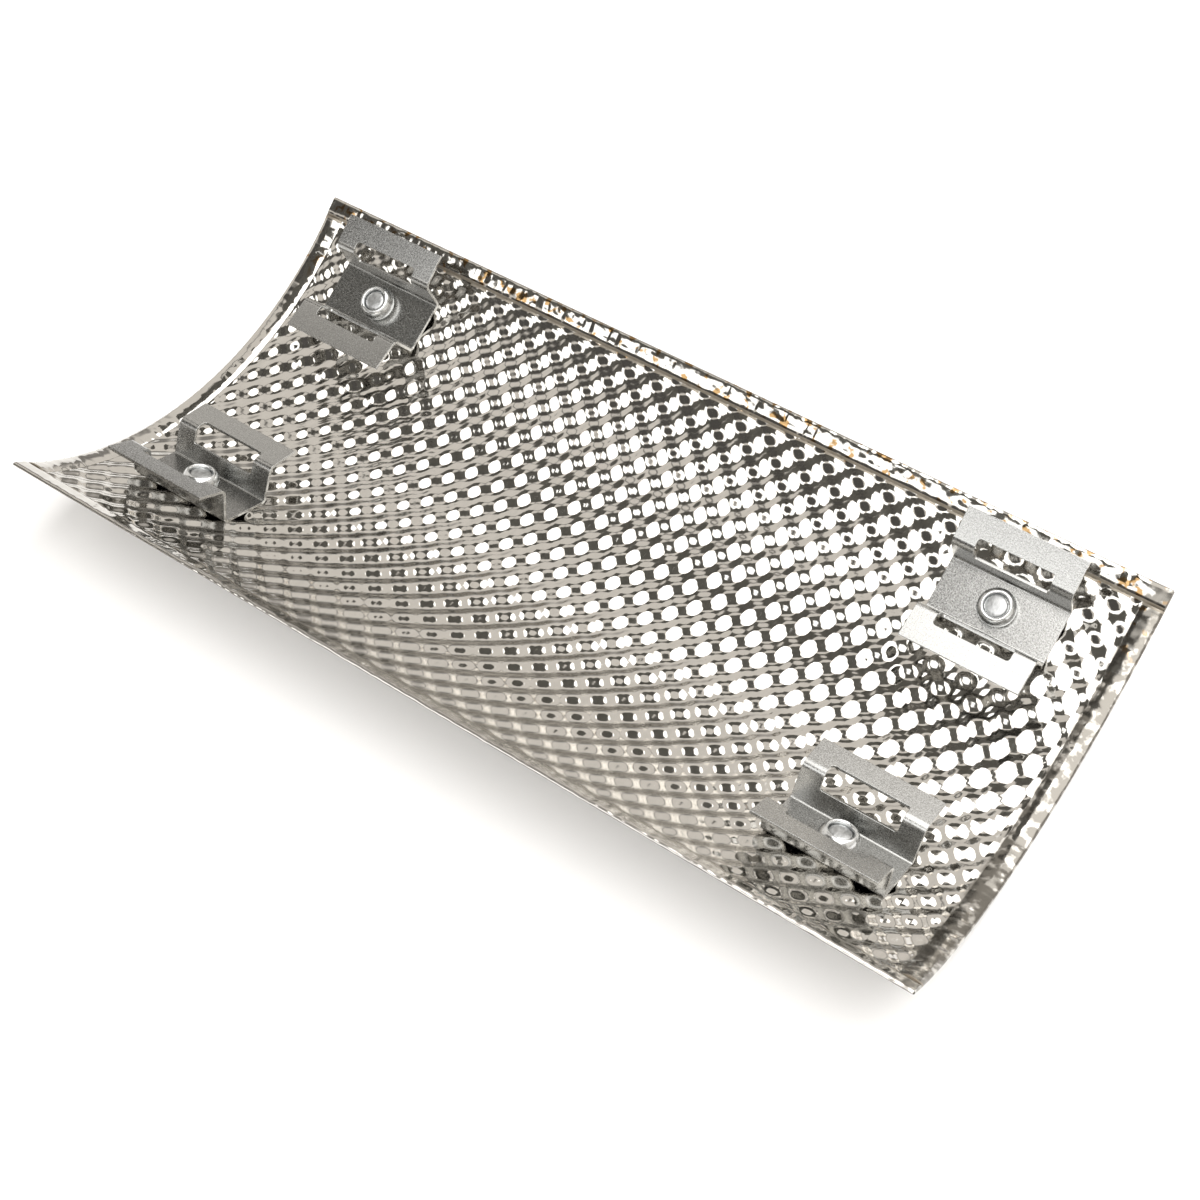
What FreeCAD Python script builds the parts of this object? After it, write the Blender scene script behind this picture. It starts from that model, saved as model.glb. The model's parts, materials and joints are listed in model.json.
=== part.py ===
import FreeCAD
import Part
import math
import os

# Pipe heat shield: a dimpled steel sheet, bent to lie round a pipe and hemmed on all four
# edges, with four riveted strap clips that hold it off the pipe and take the clamp bands.
# X runs along the pipe, Y across it and Z up. The shield lies on its back, hollow side up,
# with the origin on the floor under its middle. Sizes are in millimetres and degrees.

# Sheet
shield_length = 304.8
shield_arc_width = 165.0
bend_radius = 107.9
sheet_gauge = 0.5
dimple_depth = 1.6
dimple_pitch_along = 5.17
dimple_pitch_round = 5.5
hem_width = 6.8
hem_gap = 0.3
hem_margin = 1.5
hem_fold_facets = 4
sewing_tolerance = 0.001

# Strap clips
clip_length = 37.5
clip_gauge = 1.0
clip_base_width = 17.4
clip_wall_height = 11.5
clip_wall_lean = 7.3
clip_flange_width = 11.0
clip_flange_tilt = 9.3
clip_base_bend = 0.6
clip_top_bend = 1.6
window_length = 23.8
window_sill = 6.9
window_reach = 3.75
window_corner = 1.0
clip_inset_left = 17.2
clip_inset_right = 22.6
clip_inset_far = 26.8
clip_inset_near = 44.2

# Blind rivets
rivet_shank_diameter = 6.4
rivet_clearance = 0.05
rivet_head_diameter = 12.7
rivet_head_height = 2.0
rivet_rim_height = 0.5
rivet_bulb_diameter = 11.6
rivet_bulb_height = 5.2
rivet_foot_diameter = 10.2
rivet_lip_diameter = 9.0
rivet_lip_height = 0.4
rivet_recess_diameter = 7.2
rivet_recess_depth = 1.9
mandrel_stem_diameter = 3.6
mandrel_stem_recess = 0.5
mandrel_head_height = 1.5
mandrel_rim_height = 0.7

# Worked out from the sizes above
half_gauge = sheet_gauge / 2
half_depth = dimple_depth / 2
fold_outside = hem_gap / 2 + sheet_gauge
fold_end = shield_length / 2 - fold_outside
fold_angle = (shield_arc_width / 2 - fold_outside) / bend_radius
field_half_length = shield_length / 2 - hem_width - hem_margin
field_half_angle = (shield_arc_width / 2 - hem_width - hem_margin) / bend_radius
field_half_arc = field_half_angle * bend_radius
columns = round(2 * field_half_length / dimple_pitch_along)
row_pairs = round(field_half_arc / dimple_pitch_round - 0.5)
rows = 2 * row_pairs + 1
column_step = 2 * field_half_length / columns
row_angle = 2 * field_half_angle / rows

# Two rows of outward dimples straddle the lowest line, so the shield rests on both.
axis_height = (bend_radius + half_depth + half_gauge) * math.cos(row_angle / 2)

# The clips sit on lands pressed flat at the height of the inward dimples.
land_distance = bend_radius - half_depth - half_gauge

left_middle = clip_inset_left + clip_length / 2 - shield_length / 2
right_middle = shield_length / 2 - clip_inset_right - clip_length / 2
far_angle = (shield_arc_width / 2 - clip_inset_far) / bend_radius
near_angle = (clip_inset_near - shield_arc_width / 2) / bend_radius
clip_places = {
    "far_left": (left_middle, far_angle),
    "near_left": (left_middle, near_angle),
    "far_right": (right_middle, far_angle),
    "near_right": (right_middle, near_angle),
}


def place(shape, middle, angle):
    """Carry a shape from its own frame, Z up from the land, to a clip's place on the shield."""
    placed = shape.copy()
    placed.translate(FreeCAD.Vector(middle, 0, -land_distance))
    placed.rotate(FreeCAD.Vector(), FreeCAD.Vector(1, 0, 0), math.degrees(angle))
    placed.translate(FreeCAD.Vector(0, 0, axis_height))
    return placed


# Sheet net
# The sheet is a net of flat polygons. Each corner of the net has a point on the inner face
# and one on the outer face, so one net gives both faces and the cut edges between them.

def on_bend(along, angle, radius):
    """Point at a distance along the pipe, an angle round it and a radius from its axis."""
    return FreeCAD.Vector(along, radius * math.sin(angle), axis_height - radius * math.cos(angle))


def column_place(column):
    return -field_half_length + column * column_step


def row_place(row):
    return -field_half_angle + row * row_angle


def land_lines(middle, angle):
    """First and last column and row of the net that frame a clip's base."""
    half_base = math.atan((clip_base_width + clip_gauge) / 2 / land_distance)
    first_column = math.floor((middle - clip_length / 2 + field_half_length) / column_step)
    last_column = math.ceil((middle + clip_length / 2 + field_half_length) / column_step)
    first_row = math.floor((angle - half_base + field_half_angle) / row_angle)
    last_row = math.ceil((angle + half_base + field_half_angle) / row_angle)
    return first_column, last_column, first_row, last_row


def add_dimples(skin):
    """Corners of the dimpled field: inward and outward bumps in turn, flat along its border."""
    for column in range(columns + 1):
        for row in range(rows + 1):
            border = column in (0, columns) or row in (0, rows)
            inward = 1 - 2 * ((column + row) % 2)
            radius = bend_radius if border else bend_radius - inward * half_depth
            along = column_place(column)
            angle = row_place(row)
            skin["field", column, row] = (on_bend(along, angle, radius - half_gauge),
                                          on_bend(along, angle, radius + half_gauge))


def add_lands(skin, lands):
    """Press the corners under each clip flat, square to the clip's own direction."""
    for angle, (first_column, last_column, first_row, last_row) in lands:
        for column in range(first_column, last_column + 1):
            for row in range(first_row, last_row + 1):
                along = column_place(column)
                slant = math.cos(row_place(row) - angle)
                inner = on_bend(along, row_place(row), land_distance / slant)
                outer = on_bend(along, row_place(row), (land_distance + sheet_gauge) / slant)
                skin["field", column, row] = (inner, outer)


def fold_offsets(radius):
    """Reach past the fold line and rise above it, round a closed hem and back along its leg."""
    steps = [math.pi * step / hem_fold_facets for step in range(1, hem_fold_facets + 1)]
    arc = [(radius * math.sin(turn), -radius * math.cos(turn)) for turn in steps]
    return arc + [(fold_outside - hem_width, radius)]


def add_end_hems(skin):
    """Corners of the curved hems, folded inward at both ends of the shield."""
    fold_radius = bend_radius - half_gauge - hem_gap / 2
    folds = list(zip(fold_offsets(hem_gap / 2), fold_offsets(fold_outside)))
    for end in (-1, 1):
        for row in range(rows + 1):
            angle = row_place(row)
            skin["end", end, 0, row] = (on_bend(end * fold_end, angle, bend_radius - half_gauge),
                                        on_bend(end * fold_end, angle, bend_radius + half_gauge))
            for step, pair in enumerate(folds, 1):
                skin["end", end, step, row] = tuple(
                    on_bend(end * (fold_end + reach), angle, fold_radius - rise)
                    for reach, rise in pair)


def add_side_hems(skin):
    """Corners of the straight hems, folded inward along both long edges."""
    strip_angle = (field_half_angle + fold_angle) / 2
    folds = list(zip(fold_offsets(hem_gap / 2), fold_offsets(fold_outside)))
    for side in (-1, 1):
        outward = FreeCAD.Vector(0, side * math.cos(strip_angle), math.sin(strip_angle))
        inward = FreeCAD.Vector(0, -side * math.sin(strip_angle), math.cos(strip_angle))
        for end in (-1, 1):
            along = end * fold_end
            inner = on_bend(along, side * fold_angle, bend_radius - half_gauge)
            outer = on_bend(along, side * fold_angle, bend_radius + half_gauge)
            skin["side", side, 0, end] = (inner, outer)
            centre = inner + inward * (hem_gap / 2)
            for step, pair in enumerate(folds, 1):
                skin["side", side, step, end] = tuple(
                    centre + outward * reach + inward * rise for reach, rise in pair)


def field_polygons(lands):
    """Triangles of the dimpled field, and one rectangle for each land."""
    polygons = []
    covered = set()
    for angle, (first_column, last_column, first_row, last_row) in lands:
        across = range(first_column, last_column)
        up = range(first_row, last_row)
        covered.update((column, row) for column in across for row in up)
        border = [(column, first_row) for column in across]
        border += [(last_column, row) for row in up]
        border += [(column + 1, last_row) for column in reversed(across)]
        border += [(first_column, row + 1) for row in reversed(up)]
        polygons.append([("field", column, row) for column, row in border])
    for column in range(columns):
        for row in range(rows):
            if (column, row) in covered:
                continue
            corners = [(column, row), (column + 1, row), (column + 1, row + 1), (column, row + 1)]
            if (column + row) % 2 == 0:
                corners = corners[1:] + corners[:1]
            a, b, c, d = [("field",) + corner for corner in corners]
            polygons += [[a, b, c], [a, c, d]]
    return polygons


def hem_polygons():
    """Plain strips round the field, and the hems folded from them."""
    polygons = []
    steps = range(hem_fold_facets + 1)
    for end, column in ((-1, 0), (1, columns)):
        for row in range(rows):
            polygons.append([("field", column, row), ("end", end, 0, row),
                             ("end", end, 0, row + 1), ("field", column, row + 1)])
            for step in steps:
                polygons.append([("end", end, step, row), ("end", end, step + 1, row),
                                 ("end", end, step + 1, row + 1), ("end", end, step, row + 1)])
    for side, row in ((-1, 0), (1, rows)):
        edge = [("field", column, row) for column in range(columns + 1)]
        polygons.append([("end", -1, 0, row)] + edge + [("end", 1, 0, row),
                        ("side", side, 0, 1), ("side", side, 0, -1)])
        for step in steps:
            polygons.append([("side", side, step, -1), ("side", side, step, 1),
                             ("side", side, step + 1, 1), ("side", side, step + 1, -1)])
    return polygons


def flat_face(points):
    return Part.Face(Part.makePolygon(points + points[:1]))


def net_solid(skin, polygons):
    """Give a net its thickness: inner faces, outer faces and a strip on each open edge."""
    faces = []
    uses = {}
    for polygon in polygons:
        faces.append(flat_face([skin[corner][0] for corner in polygon]))
        faces.append(flat_face([skin[corner][1] for corner in polygon]))
        for pair in zip(polygon, polygon[1:] + polygon[:1]):
            uses.setdefault(frozenset(pair), []).append(pair)
    for pairs in uses.values():
        if len(pairs) == 1:
            start, finish = pairs[0]
            faces.append(flat_face([skin[start][0], skin[finish][0],
                                    skin[finish][1], skin[start][1]]))
    shell = Part.Compound(faces)
    shell.sewShape(sewing_tolerance)
    solid = Part.Solid(Part.Shell(shell.Faces))
    if solid.Volume < 0:
        solid.reverse()
    return solid


def shield_sheet():
    """Dimpled and hemmed sheet with a hole for each rivet."""
    lands = [(angle, land_lines(middle, angle)) for middle, angle in clip_places.values()]
    skin = {}
    add_dimples(skin)
    add_lands(skin, lands)
    add_end_hems(skin)
    add_side_hems(skin)
    sheet = net_solid(skin, field_polygons(lands) + hem_polygons())
    return sheet.cut([place(rivet_hole(), *where) for where in clip_places.values()])


# Strap clips
# Each clip is one folded strip: a base, two leaning walls and two flanges that bear on the pipe.

def offset_line(points, distance):
    """Line of points moved sideways by a distance, to its left if that is positive."""
    moved = []
    for place_in_line, point in enumerate(points):
        before = points[max(place_in_line - 1, 0)]
        after = points[min(place_in_line + 1, len(points) - 1)]
        headings = [(b - a).normalize() for a, b in ((before, point), (point, after)) if a != b]
        normals = [FreeCAD.Vector(0, -heading.z, heading.y) for heading in headings]
        middle = (normals[0] + normals[-1]).normalize()
        moved.append(point + middle * (distance / middle.dot(normals[0])))
    return moved


def rounded_wire(corners, radii):
    """Closed wire through the corners, each one rounded by its own radius."""
    edges = []
    spans = []
    for turn, (corner, radius) in enumerate(zip(corners, radii)):
        back = (corners[turn - 1] - corner).normalize()
        ahead = (corners[(turn + 1) % len(corners)] - corner).normalize()
        half_angle = back.getAngle(ahead) / 2
        setback = radius / math.tan(half_angle)
        depth = radius / math.sin(half_angle) - radius
        middle = corner + (back + ahead).normalize() * depth
        spans.append((corner + back * setback, middle, corner + ahead * setback))
    for turn, (start, middle, finish) in enumerate(spans):
        edges.append(Part.LineSegment(spans[turn - 1][2], start).toShape())
        if radii[turn] > 0:
            edges.append(Part.Arc(start, middle, finish).toShape())
    return Part.Wire(edges)


def clip_corners(side):
    """Sharp corners of the strip's middle line on one side: base, wall top and flange tip."""
    lean = math.radians(clip_wall_lean)
    tilt = math.radians(clip_flange_tilt)
    base = FreeCAD.Vector(0, side * clip_base_width / 2, clip_gauge / 2)
    wall = FreeCAD.Vector(0, side * math.sin(lean), math.cos(lean))
    top = base + wall * (clip_wall_height / math.cos(lean))
    flange = FreeCAD.Vector(0, side * math.cos(tilt), math.sin(tilt))
    return base, wall, top, flange, top + flange * clip_flange_width


def window_cutter(side):
    """Block that opens one wall from its sill, round the top bend and into the flange."""
    base, wall, top, flange, tip = clip_corners(side)
    reach = clip_gauge * 2
    wall_normal = FreeCAD.Vector(0, side * wall.z, -side * wall.y)
    flange_normal = FreeCAD.Vector(0, -side * flange.z, side * flange.y)
    sill = base + wall * ((window_sill - clip_gauge / 2) / wall.z)
    edge = top + flange * window_reach
    inside_top = top - wall_normal * reach + flange_normal * reach
    outline = [sill - wall_normal * reach, inside_top, edge + flange_normal * reach,
               edge - flange_normal * reach, sill + wall_normal * reach]
    block = flat_face(outline).extrude(FreeCAD.Vector(window_length, 0, 0))
    block.translate(FreeCAD.Vector(-window_length / 2, 0, 0))
    ends = [edge_line for edge_line in block.Edges if is_window_corner(edge_line, sill, edge)]
    return block.makeFillet(window_corner, ends)


def is_window_corner(edge_line, sill, edge):
    """Whether an edge of the cutter crosses the strip at its sill or at its flange end."""
    middle = edge_line.CenterOfMass
    across = FreeCAD.Vector(0, middle.y, middle.z)
    at_end = abs(abs(middle.x) - window_length / 2) < sewing_tolerance
    return at_end and min(across.distanceToPoint(sill), across.distanceToPoint(edge)) < sewing_tolerance


def strap_clip():
    """Folded strip with a window in each wall for the band and a hole for the rivet."""
    left = clip_corners(-1)
    right = clip_corners(1)
    middle_line = [left[4], left[2], left[0], right[0], right[2], right[4]]
    inner_radii = [0, clip_top_bend + clip_gauge, clip_base_bend]
    outer_radii = [0, clip_top_bend, clip_base_bend + clip_gauge]
    inner = offset_line(middle_line, clip_gauge / 2)
    outer = offset_line(middle_line, -clip_gauge / 2)
    section = rounded_wire(inner + outer[::-1], (inner_radii + inner_radii[::-1]
                                                 + outer_radii + outer_radii[::-1]))
    strip = Part.Face(section).extrude(FreeCAD.Vector(clip_length, 0, 0))
    strip.translate(FreeCAD.Vector(-clip_length / 2, 0, 0))
    return strip.cut([window_cutter(-1), window_cutter(1), rivet_hole()])


# Blind rivets
# The sleeve's domed head is outside the sheet and its set bulb is inside, on the clip's base.
# The mandrel stays in the sleeve, with its head drawn into the bulb.

grip = clip_gauge + sheet_gauge


def rivet_hole():
    radius = rivet_shank_diameter / 2 + rivet_clearance
    return Part.makeCylinder(radius, 2 * grip, FreeCAD.Vector(0, 0, -grip))


def turned(*edges):
    """Solid turned about Z from a closed half section."""
    axis = FreeCAD.Vector(0, 0, 1)
    return Part.Face(Part.Wire(edges)).revolve(FreeCAD.Vector(), axis, 360)


def line(*points):
    """Edges along points given as diameter and height."""
    spots = [FreeCAD.Vector(diameter / 2, 0, height) for diameter, height in points]
    return [Part.LineSegment(a, b).toShape() for a, b in zip(spots, spots[1:])]


def arc(*points):
    """Edge through three points given as diameter and height."""
    return [Part.Arc(*[FreeCAD.Vector(diameter / 2, 0, height) for diameter, height in points]).toShape()]


bulb_top = clip_gauge + rivet_bulb_height
recess_floor = bulb_top - rivet_recess_depth
bore_diameter = mandrel_stem_diameter + 2 * rivet_clearance
head_end = -sheet_gauge - rivet_head_height


def rivet_sleeve():
    rim = -sheet_gauge - rivet_rim_height
    dome = ((rivet_head_diameter + bore_diameter) / 2, (rim + 3 * head_end) / 4)
    swell = (rivet_bulb_diameter, clip_gauge + rivet_bulb_height / 2)
    crest = ((rivet_lip_diameter + rivet_recess_diameter) / 2, bulb_top)
    lip_outside = (rivet_lip_diameter, bulb_top - rivet_lip_height)
    lip_inside = (rivet_recess_diameter, bulb_top - rivet_lip_height)
    return turned(
        *arc((bore_diameter, head_end), dome, (rivet_head_diameter, rim)),
        *line((rivet_head_diameter, rim), (rivet_head_diameter, -sheet_gauge),
              (rivet_shank_diameter, -sheet_gauge), (rivet_shank_diameter, clip_gauge),
              (rivet_foot_diameter, clip_gauge)),
        *arc((rivet_foot_diameter, clip_gauge), swell, lip_outside),
        *arc(lip_outside, crest, lip_inside),
        *line(lip_inside, (rivet_recess_diameter, recess_floor), (bore_diameter, recess_floor),
              (bore_diameter, head_end)))


def rivet_mandrel():
    head_diameter = rivet_recess_diameter - 2 * rivet_clearance
    rim = recess_floor + mandrel_rim_height
    top = recess_floor + mandrel_head_height
    dome_rise = top - rim
    dome_radius = (head_diameter ** 2 / 4 + dome_rise ** 2) / (2 * dome_rise)
    half_turn = math.asin(head_diameter / 2 / dome_radius) / 2
    shoulder = (2 * dome_radius * math.sin(half_turn), top - dome_radius * (1 - math.cos(half_turn)))
    foot = head_end + mandrel_stem_recess
    return turned(
        *line((0, top), (0, foot), (mandrel_stem_diameter, foot),
              (mandrel_stem_diameter, recess_floor), (head_diameter, recess_floor),
              (head_diameter, rim)),
        *arc((head_diameter, rim), shoulder, (0, top)))


def export(node, shape):
    shape.exportStep(os.path.join("parts", node + ".step"))
    print(node, len(shape.Solids), "solids,", round(shape.Volume), "cubic mm")


os.makedirs("parts", exist_ok=True)
export("shield_sheet", shield_sheet())
clip = strap_clip()
for corner, where in clip_places.items():
    export("strap_clip_" + corner, place(clip, *where))
for node, piece in (("rivet_sleeves", rivet_sleeve()), ("rivet_mandrels", rivet_mandrel())):
    export(node, Part.Compound([place(piece, *where) for where in clip_places.values()]))
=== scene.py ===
# %% [markdown]
# # A clamp-on pipe heat shield
# The real shield is a thin bright steel sheet. It was pressed full of small dimples, hemmed on all
# four edges and rolled to an arc. Four folded clips are riveted into its hollow side. They hold the
# hot pipe off the sheet, and a clamp band threads through their windows.
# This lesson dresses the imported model: it remakes the sheet with round dimples, softens the cut
# edges of the clips, turns the rivets with more detail and gives each surface its finish.

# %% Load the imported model
import json
import math

import bmesh
import bpy
from mathutils import Matrix, Vector, noise


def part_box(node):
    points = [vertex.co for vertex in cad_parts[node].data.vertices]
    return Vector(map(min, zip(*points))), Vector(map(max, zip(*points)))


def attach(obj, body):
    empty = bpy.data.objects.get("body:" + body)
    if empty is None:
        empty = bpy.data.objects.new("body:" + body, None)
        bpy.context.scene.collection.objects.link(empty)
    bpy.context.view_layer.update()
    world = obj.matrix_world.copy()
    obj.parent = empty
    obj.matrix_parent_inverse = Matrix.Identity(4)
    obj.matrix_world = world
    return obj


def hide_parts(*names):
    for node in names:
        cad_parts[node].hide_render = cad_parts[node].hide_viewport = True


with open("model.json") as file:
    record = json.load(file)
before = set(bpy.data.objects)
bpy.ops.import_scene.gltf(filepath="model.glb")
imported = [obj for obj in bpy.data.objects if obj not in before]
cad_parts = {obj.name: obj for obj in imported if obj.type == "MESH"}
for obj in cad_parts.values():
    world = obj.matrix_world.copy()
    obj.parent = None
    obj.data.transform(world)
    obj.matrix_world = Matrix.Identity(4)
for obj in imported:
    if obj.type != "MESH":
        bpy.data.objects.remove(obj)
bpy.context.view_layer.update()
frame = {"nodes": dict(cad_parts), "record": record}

print("packed nodes:", sorted(frame["nodes"]))

# %% [markdown]
# ## Where things are
# Everything is in metres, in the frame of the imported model: X runs along the pipe, Z is up and the
# shield lies on its back. The bend's axis is a line along X above the shield. Each clip stands at a
# distance along that axis and an angle round it. Both could be written down again here, but the band
# slots in the record give them already, so they are read from there.

# %% Bend and clip places
MM = 0.001
bend_radius = 107.9 * MM
sheet_gauge = 0.5 * MM
dimple_height = 0.8 * MM
land_distance = bend_radius - dimple_height - sheet_gauge / 2
slot_height = 10 * MM

clip_places = {}
for mount in frame["record"]["mounts"]:
    if mount["name"].startswith("band_slot_"):
        angle = math.atan2(mount["axis"][2], mount["axis"][1])
        clip_places[mount["name"].replace("band_slot_", "")] = (mount["pos_m"][0], angle)
        slot_place = Vector(mount["pos_m"])
        axis_height = slot_place.z + (land_distance - slot_height) * math.cos(angle)
print("bend axis is", round(axis_height / MM, 2), "mm above the floor")
for corner, (along, angle) in clip_places.items():
    print("clip", corner, "at", round(along / MM, 1), "mm and", round(math.degrees(angle), 1), "degrees")

# %% [markdown]
# ## Finishes
# The sheet is bright rolled steel, the clips are satin strip, the rivet sleeves are plated and the
# mandrels in them are rougher. All of it is bare metal, so each finish is a metallic Principled shader
# with its own two tones, roughness and fine marks. A picture of scratches could be wrapped over the
# pieces. A noise on the piece's own coordinates is better here: it has no seams and stays sharp from
# close by. All the finishes share the marks, so they are a node group: it stretches the noise one way
# and puts out a value for the marks and one for the roughness.

# %% Rolling marks as a node group
marks_detail = 6
marks_roughness = 0.6
marks_low = 0.3
marks_high = 0.7


def rolling_marks_group():
    """Stretched noise, as marks and as a roughness between a smooth and a rough one."""
    group = bpy.data.node_groups.new("rolling_marks", "ShaderNodeTree")
    group.interface.new_socket("Stretch", in_out="INPUT", socket_type="NodeSocketVector")
    for name in ("Scale", "Smooth", "Rough"):
        group.interface.new_socket(name, in_out="INPUT", socket_type="NodeSocketFloat")
    for name in ("Marks", "Roughness"):
        group.interface.new_socket(name, in_out="OUTPUT", socket_type="NodeSocketFloat")
    nodes, links = group.nodes, group.links
    entry = nodes.new("NodeGroupInput")
    out = nodes.new("NodeGroupOutput")
    place = nodes.new("ShaderNodeTexCoord")
    stretch = nodes.new("ShaderNodeVectorMath")
    stretch.operation = "MULTIPLY"
    marks = nodes.new("ShaderNodeTexNoise")
    marks.inputs["Detail"].default_value = marks_detail
    marks.inputs["Roughness"].default_value = marks_roughness
    spread = nodes.new("ShaderNodeMapRange")
    spread.inputs["From Min"].default_value = marks_low
    spread.inputs["From Max"].default_value = marks_high
    links.new(place.outputs["Object"], stretch.inputs[0])
    links.new(entry.outputs["Stretch"], stretch.inputs[1])
    links.new(stretch.outputs["Vector"], marks.inputs["Vector"])
    links.new(entry.outputs["Scale"], marks.inputs["Scale"])
    links.new(marks.outputs["Fac"], spread.inputs["Value"])
    links.new(entry.outputs["Smooth"], spread.inputs["To Min"])
    links.new(entry.outputs["Rough"], spread.inputs["To Max"])
    links.new(marks.outputs["Fac"], out.inputs["Marks"])
    links.new(spread.outputs["Result"], out.inputs["Roughness"])
    return group


rolling_marks = rolling_marks_group()
print("node group:", rolling_marks.name, "with", len(rolling_marks.nodes), "nodes")

# %% Bare metals
def bare_metal(name, dark, light, smooth, rough, stretch, scale, relief):
    """Metal with rolling marks: a dark and a light tone, a range of roughness and a fine relief."""
    material = bpy.data.materials.new(name)
    material.use_nodes = True
    nodes, links = material.node_tree.nodes, material.node_tree.links
    shader = nodes["Principled BSDF"]
    shader.inputs["Metallic"].default_value = 1.0
    marks = nodes.new("ShaderNodeGroup")
    marks.node_tree = rolling_marks
    marks.inputs["Stretch"].default_value = stretch
    marks.inputs["Scale"].default_value = scale
    marks.inputs["Smooth"].default_value = smooth
    marks.inputs["Rough"].default_value = rough
    tone = nodes.new("ShaderNodeMix")
    tone.data_type = "RGBA"
    tone.inputs["A"].default_value = (*dark, 1)
    tone.inputs["B"].default_value = (*light, 1)
    bumps = nodes.new("ShaderNodeBump")
    bumps.inputs["Distance"].default_value = relief
    links.new(marks.outputs["Marks"], tone.inputs["Factor"])
    links.new(tone.outputs["Result"], shader.inputs["Base Color"])
    links.new(marks.outputs["Roughness"], shader.inputs["Roughness"])
    links.new(marks.outputs["Marks"], bumps.inputs["Height"])
    links.new(bumps.outputs["Normal"], shader.inputs["Normal"])
    print("finish:", name)
    return material


bright_sheet = bare_metal("bright_sheet", dark=(0.50, 0.485, 0.455), light=(0.62, 0.60, 0.565),
                          smooth=0.05, rough=0.12, stretch=(1.0, 0.3, 0.3), scale=400,
                          relief=0.01 * MM)
satin_strip = bare_metal("satin_strip", dark=(0.14, 0.14, 0.134), light=(0.66, 0.657, 0.64),
                         smooth=0.17, rough=0.32, stretch=(1.0, 1.0, 1.0), scale=2200,
                         relief=0.02 * MM)
zinc_plate = bare_metal("zinc_plate", dark=(0.60, 0.61, 0.61), light=(0.80, 0.81, 0.81),
                        smooth=0.12, rough=0.26, stretch=(1.0, 1.0, 1.0), scale=900,
                        relief=0.04 * MM)
mandrel_steel = bare_metal("mandrel_steel", dark=(0.10, 0.102, 0.10), light=(0.80, 0.81, 0.81),
                           smooth=0.30, rough=0.48, stretch=(1.0, 0.2, 1.0), scale=1500,
                           relief=0.08 * MM)

# %% [markdown]
# ## The flat blank
# A hemmed sheet starts as a flat blank with flaps. Its corners are notched, so that the curved hems
# end where the straight hems lie. The shield could be modelled bent from the start, but dimples and
# folds are simpler to describe on the flat. A grid is the natural start, because dimples, folds and
# the bend only move its points and add none. Its lines are not evenly spaced: every dimple has the
# same few points across it, and the lines crowd together where a hem folds over.

# %% Blank sizes
hem_width = 6.8 * MM
hem_gap = 0.3 * MM
hem_margin = 1.5 * MM
arc_width = 165 * MM
aimed_pitch_along = 5.17 * MM
aimed_pitch_round = 5.5 * MM
fold_radius = (hem_gap + sheet_gauge) / 2
fold_outside = hem_gap / 2 + sheet_gauge
fold_length = math.pi * fold_radius
leg_length = hem_width - fold_outside

sheet_low, sheet_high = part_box("shield_sheet")
shield_length = sheet_high.x - sheet_low.x
end_fold = shield_length / 2 - fold_outside
side_fold = arc_width / 2 - fold_outside
field_length = shield_length - 2 * (hem_width + hem_margin)
field_arc = arc_width - 2 * (hem_width + hem_margin)
dimple_columns = round(field_length / aimed_pitch_along)
# The nearest odd number of rows.
dimple_rows = 2 * round(field_arc / aimed_pitch_round / 2 - 0.5) + 1
pitch_along = field_length / dimple_columns
pitch_round = field_arc / dimple_rows
print("dimples:", dimple_columns, "by", dimple_rows, "at", round(pitch_along / MM, 3), "by",
      round(pitch_round / MM, 3), "mm")

# %% Grid lines and notched corners
points_per_dimple = 5
margin_segments = 2
fold_segments = 3
leg_segments = 7


def even_steps(start, length, count):
    """Places that divide a length into equal steps, without its start."""
    return [start + length * k / count for k in range(1, count + 1)]


def blank_lines(field, dimples, fold_line):
    """Flat places of the grid's lines from one raw edge, over both folds, to the other."""
    flap = even_steps(field / 2, hem_margin, margin_segments) + [fold_line]
    flap += even_steps(fold_line, fold_length, fold_segments)
    flap += even_steps(fold_line + fold_length, leg_length, leg_segments)
    pressed = [-field / 2] + even_steps(-field / 2, field, dimples * points_per_dimple)
    return [-place for place in reversed(flap)] + pressed + flap


lines_along = blank_lines(field_length, dimple_columns, end_fold)
lines_round = blank_lines(field_arc, dimple_rows, side_fold)

blank = bmesh.new()
bmesh.ops.create_grid(blank, x_segments=len(lines_along) - 1, y_segments=len(lines_round) - 1, size=1)
for vert in blank.verts:
    column = round((vert.co.x + 1) / 2 * (len(lines_along) - 1))
    row = round((vert.co.y + 1) / 2 * (len(lines_round) - 1))
    vert.co = (lines_along[column], lines_round[row], 0)


def is_notch(face):
    """Where a curved hem's leg would lie on a straight hem, and where both flaps would fold."""
    middle = face.calc_center_median()
    past_end = abs(middle.x) - end_fold
    beside_hem = past_end > fold_length and abs(middle.y) > arc_width / 2 - hem_width
    return beside_hem or past_end > 0 and abs(middle.y) > side_fold


notches = [face for face in blank.faces if is_notch(face)]
bmesh.ops.delete(blank, geom=notches, context="FACES")
print("blank:", len(blank.faces), "faces,", len(notches), "cut out of the corners")

# %% [markdown]
# ## Dimples, hems and bend
# On the real sheet a press makes the dimples, and a hem or a rivet crushes them again where it lies.
# A bump in the material could draw them, but then the outline and the edges would stay smooth. So
# they are real shapes, and each point of the blank is moved once.
# The dimples are two waves that cross on the diagonals, so bumps inward and outward take turns. A
# little of a third harmonic makes their sides flatter, and the ridges of one wave sway: both shape
# the flecks of light that the sides mirror. Hems crush the dimples to flat patches with creases, a
# rivet presses the sheet flat against its clip, and a clip's base squashes the bumps under it. The
# hem is a half circle and a leg that runs back, and the leg's raw edge curls down to the sheet. Last,
# the sheet is wrapped round the bend's axis.

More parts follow.
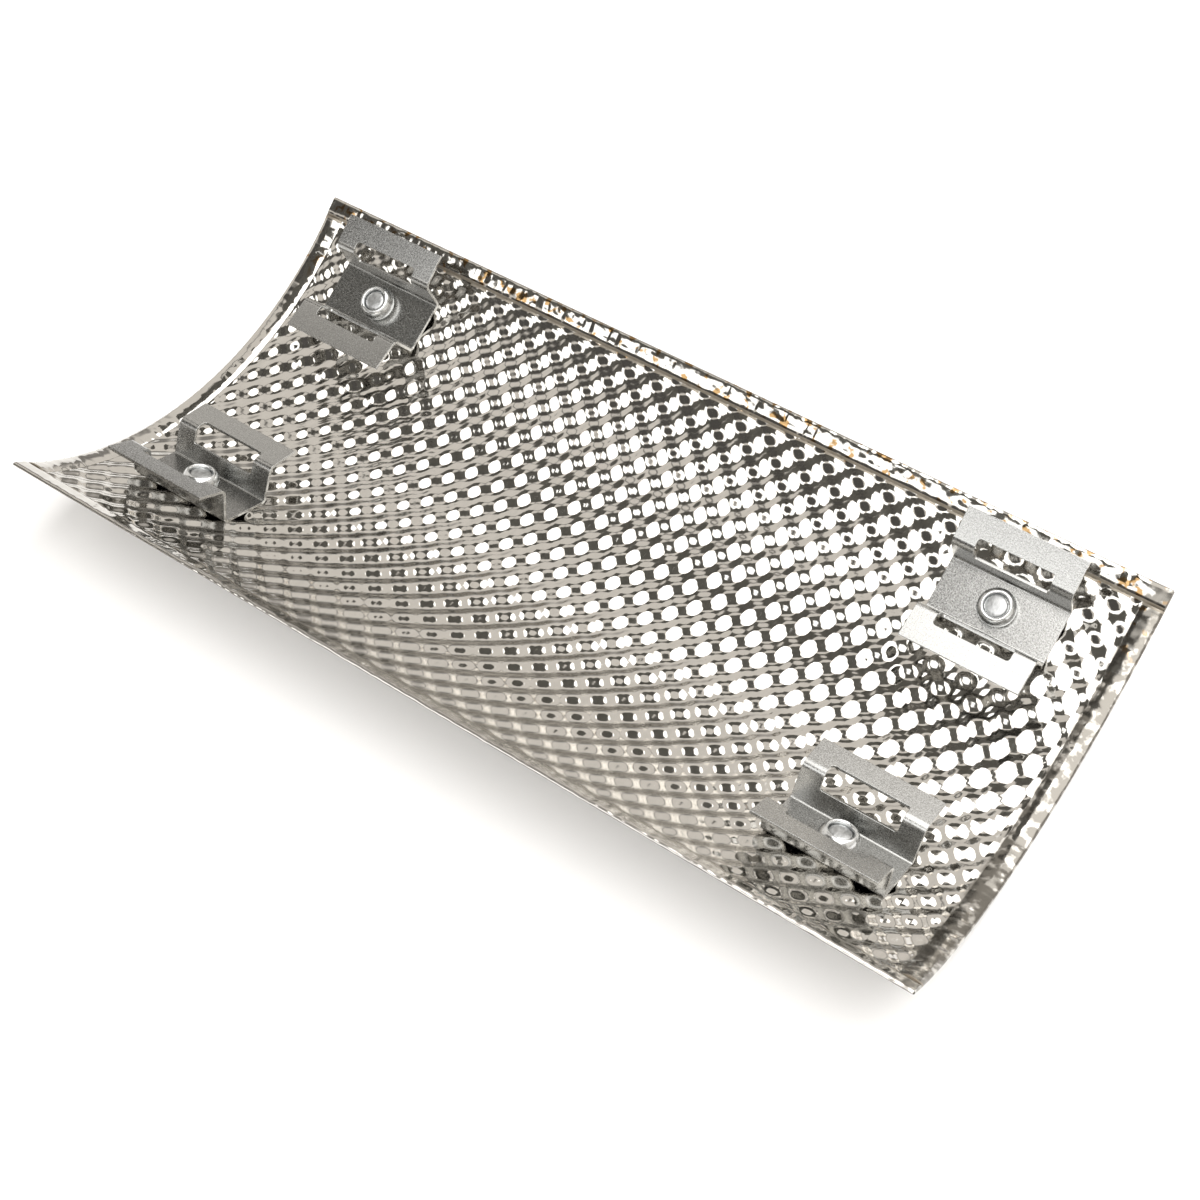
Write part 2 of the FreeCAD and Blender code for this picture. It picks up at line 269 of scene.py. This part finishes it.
# %% Dimples
side_flatness = 0.03
ridge_sway = 0.5
uneven_share = 0.06
uneven_size = 14 * MM
fade_under_hem = 0.6 * MM
fade_in_field = 2.2 * MM
rivet_land = 6.6 * MM
rivet_land_end = 10.5 * MM
clip_half_length = 18.9 * MM
clip_half_base = 9.2 * MM


def smoothstep(low, high, value):
    """0 below low, 1 above high and a soft ramp between them."""
    t = min(max((value - low) / (high - low), 0.0), 1.0)
    return t * t * (3 - 2 * t)


def patchy(along, around, layer, size):
    """Soft noise over the sheet with patches of a size. Each layer has patches of its own."""
    return noise.noise(Vector((along, around, layer)) / size)


def pressed_wave(along, around):
    """Crossed waves between -1 and 1: rounded pyramids that point inward and outward in turn."""
    a = math.pi * (along + field_length / 2) / pitch_along
    b = math.pi * (around + field_arc / 2) / pitch_round
    swayed = a - b - ridge_sway * math.cos(a + b)
    waves = [math.cos(turn) + side_flatness * math.cos(3 * turn) for turn in (a + b, swayed)]
    return sum(waves) / 2 / (1 + side_flatness)


def seat_of_clip(along, around):
    """Offsets from the nearest clip, and the height at which the sheet is flat against it."""
    nearest = min(clip_places.values(),
                  key=lambda place: math.hypot(along - place[0], around - place[1] * bend_radius))
    off_along = along - nearest[0]
    off_round = around - nearest[1] * bend_radius
    seat = bend_radius - sheet_gauge / 2 - land_distance / math.cos(off_round / bend_radius)
    return off_along, off_round, seat


def dimple(along, around):
    """Height of the pressed sheet above its middle, towards the hollow side."""
    edge = min(shield_length / 2 - abs(along), arc_width / 2 - abs(around))
    rise = smoothstep(hem_width - fade_under_hem, hem_width + fade_in_field, edge)
    uneven = 1 - uneven_share + uneven_share * patchy(along, around, 0, uneven_size)
    height = dimple_height * pressed_wave(along, around) * rise * uneven
    off_along, off_round, seat = seat_of_clip(along, around)
    away = math.hypot(off_along, off_round)
    height += (seat - height) * (1 - smoothstep(rivet_land, rivet_land_end, away))
    if abs(off_along) < clip_half_length and abs(off_round) < clip_half_base:
        height = min(height, seat)
    return height


print("dimples rise", round(dimple_height / MM, 2), "mm above and below the middle of the sheet")

# %% Hems and the bend
crushed_height = 0.35 * MM
groove_offset = 0.85
groove_width = 0.42
groove_depth = 0.7
groove_change = 0.6
wander_turn = 0.5
wander_size = 9 * MM
wrinkle_share = 0.25
wrinkle_size = 1.8 * MM
crush_start = 0.4 * fold_length
crush_end = 1.3 * fold_length
side_hem = {"lift": 0.4 * MM, "curl_start": 0.68, "drop": 0.85 * MM}
end_hem = {"lift": 0.6 * MM, "curl_start": 0.35, "drop": 1.15 * MM}


def crushed(along, around):
    """What the press leaves of the dimples on a hem: flat patches, two grooves to a pair of dimples."""
    wander = patchy(along, around, 2, wander_size)
    wrinkle = patchy(along, around, 1, wrinkle_size)
    pair = (along + field_length / 2) / (2 * pitch_along)
    if abs(around) < field_arc / 2:
        pair = (around + field_arc / 2) / (2 * pitch_round)
    turn = 2 * math.pi * (pair % 1.0) - math.pi + wander_turn * wander
    grooves = sum(math.exp(-((turn - side * groove_offset) / groove_width) ** 2) for side in (-1, 1))
    cut = grooves * (groove_depth + groove_change * wander)
    return crushed_height * (1 - cut + wrinkle_share * wrinkle)


def fold_over(past, along, around, hem):
    """Reach along the sheet and rise above it, at a flat distance past a fold line."""
    if past < fold_length:
        turn = past / fold_radius
        reach, rise = fold_radius * math.sin(turn), fold_radius * (1 - math.cos(turn))
    else:
        reach, rise = fold_length - past, 2 * fold_radius
        share = (past - fold_length) / leg_length
        curl = max(share - hem["curl_start"], 0) / (1 - hem["curl_start"])
        rise += hem["lift"] * share - hem["drop"] * curl ** 2
    return reach, rise + crushed(along, around) * smoothstep(crush_start, crush_end, past)


def on_bend(along, angle, radius):
    """Point at a distance along the bend's axis, an angle round it and a radius from it."""
    return Vector((along, radius * math.sin(angle), axis_height - radius * math.cos(angle)))


def sheet_point(flat):
    """Where a point of the flat blank ends up on the finished sheet."""
    along, around = flat.x, flat.y
    past_end = abs(along) - end_fold
    past_side = abs(around) - side_fold
    if past_end > 0:
        reach, height = fold_over(past_end, along, around, end_hem)
        along = math.copysign(end_fold + reach, along)
    elif past_side > 0:
        reach, height = fold_over(past_side, along, around, side_hem)
        around = math.copysign(side_fold + reach, around)
    else:
        height = dimple(along, around)
    return on_bend(along, around / bend_radius, bend_radius - height)


for vert in blank.verts:
    vert.co = sheet_point(vert.co)
bmesh.ops.recalc_face_normals(blank, faces=blank.faces)
bmesh.ops.solidify(blank, geom=blank.faces, thickness=sheet_gauge)
for face in blank.faces:
    face.smooth = True
print("sheet:", len(blank.faces), "faces, now that it has its thickness")

# %% [markdown]
# ## Pressing, heat, rough cut edges and painted reflections on the hems
# A hem is pressed flat, so the metal there is finely crinkled. The far hem has straw-coloured heat
# spots. The hem of the right end has darker, rougher patches, a painted dark reflection, and the raw
# edges of the long hems are rough cut metal with a tan tone that is a painted reflection. Each could
# be a material of its own on some of the faces, but then it would stop at a hard line. So the sheet
# carries four marks with values from 0 to 1, and its one finish blends by them.

# %% Mark the hems, the heated side, the painted dark reflection at the right end and the raw edges
crinkle_reach = 0.8 * MM
heated_from = 45 * MM
heated_to = 62 * MM
dark_reflection_end_reach = 1.0 * MM
raw_edge_band = 0.95 * MM
leg_height = 0.4 * MM
point_marks = ("hem", "heated", "dulled")
for mark in point_marks:
    blank.verts.layers.float.new(mark)
blank.faces.layers.float.new("cut_edge")
hem_mask, heat_mask, dark_reflection_end_mask = [blank.verts.layers.float[mark] for mark in point_marks]
cut_mask = blank.faces.layers.float["cut_edge"]


def from_end(place):
    """Distance from the nearest end, along the sheet."""
    return shield_length / 2 - abs(place.x)


def from_side(place):
    """Distance from the nearest long edge, round the bend."""
    angle = math.atan2(place.y, axis_height - place.z)
    return arc_width / 2 - abs(angle) * bend_radius


def above_middle(place):
    """Height above the middle of the sheet, towards the hollow side."""
    return bend_radius - math.hypot(place.y, axis_height - place.z)


for vert in blank.verts:
    edge = min(from_end(vert.co), from_side(vert.co))
    vert[hem_mask] = 1 - smoothstep(hem_width, hem_width + crinkle_reach, edge)
    vert[heat_mask] = vert[hem_mask] * smoothstep(heated_from, heated_to, vert.co.y)
    # The right end's hem gets a mark for darker, rougher patches: a painted dark reflection.
    if vert.co.x > 0:
        vert[dark_reflection_end_mask] = 1 - smoothstep(hem_width, hem_width + dark_reflection_end_reach, from_end(vert.co))
# Faces at the raw edges of the long hems: rough cut metal, and their tan tone is a painted reflection.
for face in blank.faces:
    middle = face.calc_center_median()
    on_leg = above_middle(middle) > leg_height
    at_raw_edge = on_leg and abs(from_side(middle) - hem_width) < raw_edge_band
    face[cut_mask] = 1.0 if at_raw_edge else 0.0
print("faces of the raw edges:", sum(1 for face in blank.faces if face[cut_mask] > 0))

# %% From a mesh to a finished piece
sheet_crease = math.radians(60)


def add_piece(name, bm, replaced, material):
    """Turn a bmesh into a finished piece that rides on the shield and stands for a CAD node."""
    mesh = bpy.data.meshes.new(name)
    bm.to_mesh(mesh)
    bm.free()
    mesh.materials.append(material)
    piece = bpy.data.objects.new(name, mesh)
    bpy.context.scene.collection.objects.link(piece)
    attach(piece, "root")
    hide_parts(replaced)
    mesh.calc_loop_triangles()
    print(name, len(mesh.loop_triangles), "triangles")
    return piece


sheet = add_piece("dimpled_sheet", blank, "shield_sheet", bright_sheet)
sheet.data.set_sharp_from_angle(angle=sheet_crease)

# %% Nodes that read and blend the marks
sheet_marks = (*point_marks, "cut_edge")


def read_mark(nodes, name):
    """Value of one of the sheet's marks."""
    mark = nodes.new("ShaderNodeAttribute")
    mark.attribute_name = name
    return mark.outputs["Fac"]


def multiply(nodes, links, first, second):
    """Product of two values."""
    product = nodes.new("ShaderNodeMath")
    product.operation = "MULTIPLY"
    links.new(first, product.inputs[0])
    links.new(second, product.inputs[1])
    return product.outputs["Value"]


def blotches(nodes, links, scale, detail, low, high):
    """Spots of a noise on the piece's own coordinates, from 0 to 1."""
    place = nodes.new("ShaderNodeTexCoord")
    spots = nodes.new("ShaderNodeTexNoise")
    spots.inputs["Scale"].default_value = scale
    spots.inputs["Detail"].default_value = detail
    links.new(place.outputs["Object"], spots.inputs["Vector"])
    cut = nodes.new("ShaderNodeMapRange")
    cut.inputs["From Min"].default_value = low
    cut.inputs["From Max"].default_value = high
    links.new(spots.outputs["Fac"], cut.inputs["Value"])
    return cut.outputs["Result"]


def tint(nodes, links, factor, colour, base):
    """Blend of a colour over another one."""
    blend = nodes.new("ShaderNodeMix")
    blend.data_type = "RGBA"
    blend.inputs["B"].default_value = colour
    links.new(factor, blend.inputs["Factor"])
    links.new(base, blend.inputs["A"])
    return blend.outputs["Result"]


def roughened(nodes, links, factor, roughness, base):
    """Blend of a roughness over another one."""
    blend = nodes.new("ShaderNodeMapRange")
    blend.inputs["To Max"].default_value = roughness
    links.new(factor, blend.inputs["Value"])
    links.new(base, blend.inputs["To Min"])
    return blend.outputs["Result"]


print("marks on the sheet:", [mark for mark in sheet_marks if mark in sheet.data.attributes])

# %% Finish of the hems
straw_tint = (0.32, 0.205, 0.095, 1)
# Darker, rougher patches on the right end's hem, painted as a dark reflection.
painted_dark_reflection_tone = (0.20, 0.188, 0.168, 1)
right_end_roughness = 0.20
# Raw edges: rough cut metal, with a tan tone that is a painted reflection.
painted_tan_reflection_tone = (0.34, 0.305, 0.255, 1)
cut_edge_roughness = 0.5
crinkle_depth = 0.07 * MM
heat_spots = {"scale": 330, "detail": 2, "low": 0.55, "high": 0.63}
dark_reflection_spots = {"scale": 300, "detail": 2, "low": 0.36, "high": 0.52}
crinkles = {"scale": 420, "detail": 0, "low": 0.25, "high": 0.75}


def finish_hems(material):
    """Heat spots, painted dark and tan reflections, rough cut edges and crinkles on the sheet's finish.
    """
    nodes, links = material.node_tree.nodes, material.node_tree.links
    shader = nodes["Principled BSDF"]
    colour = shader.inputs["Base Color"].links[0].from_socket
    roughness = shader.inputs["Roughness"].links[0].from_socket
    relief = shader.inputs["Normal"].links[0].from_node
    heated = multiply(nodes, links, read_mark(nodes, "heated"), blotches(nodes, links, **heat_spots))
    dulled = multiply(nodes, links, read_mark(nodes, "dulled"), blotches(nodes, links, **dark_reflection_spots))
    # Raw edges: real roughness of cut metal, and a tan tone painted as a reflection.
    rough_edge_tan_reflection = read_mark(nodes, "cut_edge")
    colour = tint(nodes, links, heated, straw_tint, colour)
    # Painted dark reflection on the right end's hem, then the painted tan reflection on the raw edges.
    colour = tint(nodes, links, dulled, painted_dark_reflection_tone, colour)
    colour = tint(nodes, links, rough_edge_tan_reflection, painted_tan_reflection_tone, colour)
    roughness = roughened(nodes, links, dulled, right_end_roughness, roughness)
    roughness = roughened(nodes, links, rough_edge_tan_reflection, cut_edge_roughness, roughness)
    links.new(colour, shader.inputs["Base Color"])
    links.new(roughness, shader.inputs["Roughness"])
    crinkle = nodes.new("ShaderNodeBump")
    crinkle.inputs["Distance"].default_value = crinkle_depth
    height = multiply(nodes, links, read_mark(nodes, "hem"), blotches(nodes, links, **crinkles))
    links.new(height, crinkle.inputs["Height"])
    links.new(crinkle.outputs["Normal"], relief.inputs["Normal"])


finish_hems(bright_sheet)
print("finish of the sheet and its hems:", len(bright_sheet.node_tree.nodes), "nodes")

# %% [markdown]
# ## Strap clips
# A clip is a strip of thicker steel, folded in a press. It could be folded again here, but its form
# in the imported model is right. Only its edges are not: a sheared edge is never razor sharp, and the
# light catches on it. So each clip is a copy of its CAD mesh, with the triangles merged into flat
# faces and a small bevel on the cut edges.

# %% Soften the cut edges of the clips
same_place = 0.0005 * MM
flat_limit = math.radians(0.5)
cut_angle = math.radians(50)
edge_break = 0.14 * MM
edge_segments = 2
large_faces_first = 100


def softened(node):
    """Copy of a CAD mesh with merged faces and bevelled edges where it was cut."""
    bm = bmesh.new()
    bm.from_mesh(frame["nodes"][node].data)
    bmesh.ops.remove_doubles(bm, verts=bm.verts, dist=same_place)
    bmesh.ops.dissolve_limit(bm, angle_limit=flat_limit, verts=bm.verts, edges=bm.edges)
    cut_edges = [edge for edge in bm.edges if edge.is_manifold and edge.calc_face_angle() > cut_angle]
    bmesh.ops.bevel(bm, geom=cut_edges, offset=edge_break, offset_type="OFFSET", affect="EDGES",
                    segments=edge_segments, profile=0.5, material=-1, clamp_overlap=True)
    for face in bm.faces:
        face.smooth = True
    return bm


for corner in clip_places:
    node = "strap_clip_" + corner
    piece = add_piece("clip_" + corner, softened(node), node, satin_strip)
    even_out = piece.modifiers.new("flat_faces_stay_flat", "WEIGHTED_NORMAL")
    even_out.weight = large_faces_first

# %% [markdown]
# ## Blind rivets
# The rivet's domed head is outside the sheet. Inside, the sleeve was pulled into a bulb with a
# rolled lip, and the head of the mandrel is left in its mouth. Both could be stacked from cones and
# rings with bevelled corners. They are turned shapes, though, so a profile that is spun round the
# rivet's axis gives the bulb, the lip and the recess at once, and smooth shading rounds what lies
# between its points.

# %% Turn the sleeves
spin_steps = 40
spin_merge = 0.001 * MM
rivet_crease = math.radians(50)
sleeve_profile = [
    (1.85, 4.3), (1.85, -2.45), (2.2, -2.5), (4.2, -2.1), (5.9, -1.25), (6.3, -0.9), (6.35, -0.55),
    (6.3, -0.5), (3.3, -0.5), (3.2, -0.4), (3.2, 0.9), (3.3, 1.0), (4.9, 1.0), (5.2, 1.15), (5.65, 2.2),
    (5.8, 3.3), (5.5, 4.6), (4.9, 5.6), (4.4, 6.1), (4.05, 6.2), (3.75, 6.0), (3.6, 5.6), (3.58, 4.5),
    (3.45, 4.3), (1.85, 4.3),
]


def turned(profile):
    """Closed solid of revolution from (radius, height) points in millimetres, in a clip's frame."""
    bm = bmesh.new()
    verts = [bm.verts.new((radius * MM, 0, height * MM)) for radius, height in profile]
    for a, b in zip(verts, verts[1:]):
        bm.edges.new((a, b))
    bmesh.ops.spin(bm, geom=bm.verts[:] + bm.edges[:], cent=(0, 0, 0), axis=(0, 0, 1),
                   angle=2 * math.pi, steps=spin_steps, use_merge=True)
    bmesh.ops.remove_doubles(bm, verts=bm.verts, dist=spin_merge)
    bmesh.ops.recalc_face_normals(bm, faces=bm.faces)
    return bm


def clip_frame(along, angle):
    """Matrix from a clip's own frame, Z up from its seat on the sheet, to its place."""
    lift = Matrix.Translation((0, 0, axis_height))
    turn = Matrix.Rotation(angle, 4, "X")
    return lift @ turn @ Matrix.Translation((along, 0, -land_distance))


def four_of(bm):
    """The same turned piece at each clip, in one mesh."""
    first_verts = bm.verts[:]
    first = first_verts + bm.edges[:] + bm.faces[:]
    places = [clip_frame(*place) for place in clip_places.values()]
    for matrix in places[1:]:
        copy = bmesh.ops.duplicate(bm, geom=first)["geom"]
        moved = [item for item in copy if isinstance(item, bmesh.types.BMVert)]
        bmesh.ops.transform(bm, matrix=matrix, verts=moved)
    bmesh.ops.transform(bm, matrix=places[0], verts=first_verts)
    for face in bm.faces:
        face.smooth = True
    return bm


sleeves = add_piece("rivet_sleeves_set", four_of(turned(sleeve_profile)), "rivet_sleeves",
                    zinc_plate)
sleeves.data.set_sharp_from_angle(angle=rivet_crease)

# %% Turn the mandrels
mandrel_profile = [
    (0.0, -2.0), (1.7, -2.0), (1.8, -1.9), (1.8, 4.3), (3.05, 4.3), (3.2, 4.45), (3.2, 5.1), (3.0, 5.3),
    (2.3, 5.48), (1.2, 5.58), (0.0, 5.62),
]
mandrels = add_piece("rivet_mandrels_set", four_of(turned(mandrel_profile)),
                     "rivet_mandrels", mandrel_steel)
mandrels.data.set_sharp_from_angle(angle=rivet_crease)

# %% [markdown]
# ## Floor and light
# The shield lies on a plain pale floor in a white studio. Bare metal shows what stands around it, so
# what it mirrors makes most of its look. A picture of a room could be wrapped around it, but a few
# plain surfaces are easier to steer: one broad panel overhead, a smaller one in front, and white
# walls. Dark cloths beside the overhead panel and dark areas of the walls draw the dark flecks.

# %% Floor
floor_size = 6.0
floor_tone = (0.86, 0.86, 0.86)
matte_roughness = 0.9


def matte_finish(name, colour):
    """Plain finish without gloss, for things of the studio."""
    material = bpy.data.materials.new(name)
    material.use_nodes = True
    shader = material.node_tree.nodes["Principled BSDF"]
    shader.inputs["Base Color"].default_value = (*colour, 1)
    shader.inputs["Roughness"].default_value = matte_roughness
    return material


def studio_sheet(name, bm, material):
    """Flat sheet of the studio from a bmesh."""
    mesh = bpy.data.meshes.new(name)
    bm.to_mesh(mesh)
    bm.free()
    mesh.materials.append(material)
    flat_sheet = bpy.data.objects.new(name, mesh)
    bpy.context.scene.collection.objects.link(flat_sheet)
    return flat_sheet


floor_mesh = bmesh.new()
bmesh.ops.create_grid(floor_mesh, x_segments=1, y_segments=1, size=floor_size / 2)
floor = studio_sheet("floor", floor_mesh, matte_finish("pale_floor", floor_tone))
print("floor", floor_size, "m wide")

# %% White walls with dark seams
white_walls = (1.0, 0.955, 0.895)
wall_radiance = 1.0
wall_seams = [
    {"low": 9, "high": 12, "share": 0.30},
    {"low": 43, "high": 46, "share": 0.35},
]

world = bpy.data.worlds.new("studio")
bpy.context.scene.world = world
world.use_nodes = True
world_nodes, world_links = world.node_tree.nodes, world.node_tree.links
background = world_nodes["Background"]
background.inputs["Color"].default_value = (*white_walls, 1)
view_direction = world_nodes.new("ShaderNodeTexCoord").outputs["Generated"]
height_in_view = world_nodes.new("ShaderNodeSeparateXYZ")
world_links.new(view_direction, height_in_view.inputs["Vector"])
walls = world_nodes.new("ShaderNodeValToRGB")
walls.color_ramp.interpolation = "CONSTANT"
walls.color_ramp.elements.remove(walls.color_ramp.elements[1])
walls.color_ramp.elements[0].color = (wall_radiance, wall_radiance, wall_radiance, 1)
for seam in wall_seams:
    for elevation, share in ((seam["low"], seam["share"]), (seam["high"], 1.0)):
        stop = walls.color_ramp.elements.new(math.sin(math.radians(elevation)))
        stop.color = (wall_radiance * share, wall_radiance * share, wall_radiance * share, 1)
    print("seam in the walls from", seam["low"], "to", seam["high"], "degrees up")
world_links.new(height_in_view.outputs["Z"], walls.inputs["Fac"])

# %% Dark areas of the walls
dark_areas = {
    "left_of_the_front_panel": {"place": (-118, 42), "radius": 16, "soft": 4, "share": 0.12},
    "under_the_front_panel": {"place": (-160, 14), "radius": 19, "soft": 3, "share": 0.12},
    "gap_in_the_wall": {"place": (-37, 6), "radius": 13, "soft": 7, "share": 0.35},
}


def towards(azimuth, elevation):
    """Unit direction from the shield; azimuth 0 is +Y and 90 is +X, in degrees."""
    az, el = math.radians(azimuth), math.radians(elevation)
    return Vector((math.sin(az) * math.cos(el), math.cos(az) * math.cos(el), math.sin(el)))


wall_light = walls.outputs["Color"]
for name, area in dark_areas.items():
    nearness = world_nodes.new("ShaderNodeVectorMath")
    nearness.operation = "DOT_PRODUCT"
    nearness.inputs[1].default_value = towards(*area["place"])
    world_links.new(view_direction, nearness.inputs[0])
    fade = world_nodes.new("ShaderNodeMapRange")
    fade.interpolation_type = "SMOOTHSTEP"
    fade.inputs["From Min"].default_value = math.cos(math.radians(area["radius"] + area["soft"]))
    fade.inputs["From Max"].default_value = math.cos(math.radians(area["radius"] - area["soft"]))
    fade.inputs["To Min"].default_value = wall_radiance
    fade.inputs["To Max"].default_value = wall_radiance * area["share"]
    world_links.new(nearness.outputs["Value"], fade.inputs["Value"])
    darker = world_nodes.new("ShaderNodeMath")
    darker.operation = "MINIMUM"
    world_links.new(wall_light, darker.inputs[0])
    world_links.new(fade.outputs["Result"], darker.inputs[1])
    wall_light = darker.outputs["Value"]
    print("dark area", name, "at", area["place"])
world_links.new(wall_light, background.inputs["Strength"])

# %% Soft panels
panel_radiance = 2.4
panel_height = 1.5
panel_low = Vector((-0.35, -1.60))
panel_high = Vector((1.40, 1.80))
front_direction = towards(-176, 48)
front_distance = 1.6
front_width = 1.80
front_depth = 0.55


def soft_panel(name, place, turn, width, depth):
    """Rectangular soft light of an even brightness."""
    light = bpy.data.lights.new(name, "AREA")
    light.shape = "RECTANGLE"
    light.size = width
    light.size_y = depth
    light.energy = panel_radiance * math.pi * width * depth
    panel = bpy.data.objects.new(name, light)
    panel.matrix_world = Matrix.Translation(place) @ turn.to_4x4()
    bpy.context.scene.collection.objects.link(panel)
    print(name, round(width, 2), "by", round(depth, 2), "m")


panel_size = panel_high - panel_low
panel_middle = ((panel_low + panel_high) / 2).to_3d() + Vector((0, 0, panel_height))
soft_panel("overhead_panel", panel_middle, Matrix.Identity(3), panel_size.x, panel_size.y)
front_turn = front_direction.to_track_quat("Z", "Y").to_matrix()
soft_panel("front_panel", front_direction * front_distance, front_turn, front_width, front_depth)

# %% Dark cloths beside the overhead panel
cloth_drop = 0.04
cloth_tone = (0.12, 0.118, 0.108)
dark_cloths = {
    "front_cloth": {"middle": (-0.534, -0.975), "size": (1.9, 1.2), "turn": -57},
    "back_cloth": {"middle": (-0.80, 1.0), "size": (0.91, 1.0), "turn": 0},
}
cloth_height = panel_height - cloth_drop
black_cloth = matte_finish("black_cloth", cloth_tone)
for name, cloth in dark_cloths.items():
    cloth_mesh = bmesh.new()
    bmesh.ops.create_grid(cloth_mesh, x_segments=1, y_segments=1, size=0.5)
    bmesh.ops.scale(cloth_mesh, vec=(*cloth["size"], 1), verts=cloth_mesh.verts)
    cloth_turn = Matrix.Rotation(math.radians(cloth["turn"]), 3, "Z")
    bmesh.ops.rotate(cloth_mesh, cent=(0, 0, 0), matrix=cloth_turn, verts=cloth_mesh.verts)
    bmesh.ops.translate(cloth_mesh, vec=(*cloth["middle"], cloth_height), verts=cloth_mesh.verts)
    cloth_piece = studio_sheet(name, cloth_mesh, black_cloth)
    print(name, cloth["size"], "m")

# %% [markdown]
# ## Camera
# The camera stands where the photograph was taken from. It could be placed by eye. Here its place,
# its aim and its focal length were fitted to the outline of the shield, so that a render and the
# photograph can be compared region by region.

# %% Camera
image_side = 1200
focal_pixels = 1844.8
film_width = 36
nearest_view = 0.01
camera_place = Vector((0.21125, -0.27704, 0.43107))
camera_aim = Vector((-0.36900, 0.50490, -0.78033))
camera_right = Vector((0.81881, 0.57384, -0.01590))
camera_data = bpy.data.cameras.new("camera")
camera_data.sensor_width = film_width
camera_data.lens = focal_pixels / image_side * film_width
camera_data.clip_start = nearest_view
camera = bpy.data.objects.new("camera", camera_data)
camera_turn = Matrix((camera_right, camera_right.cross(camera_aim), -camera_aim)).transposed()
camera.matrix_world = Matrix.Translation(camera_place) @ camera_turn.to_4x4()
bpy.context.scene.collection.objects.link(camera)
bpy.context.scene.camera = camera
bpy.context.scene.view_settings.view_transform = "Standard"
print("camera lens:", round(camera_data.lens, 1), "mm")
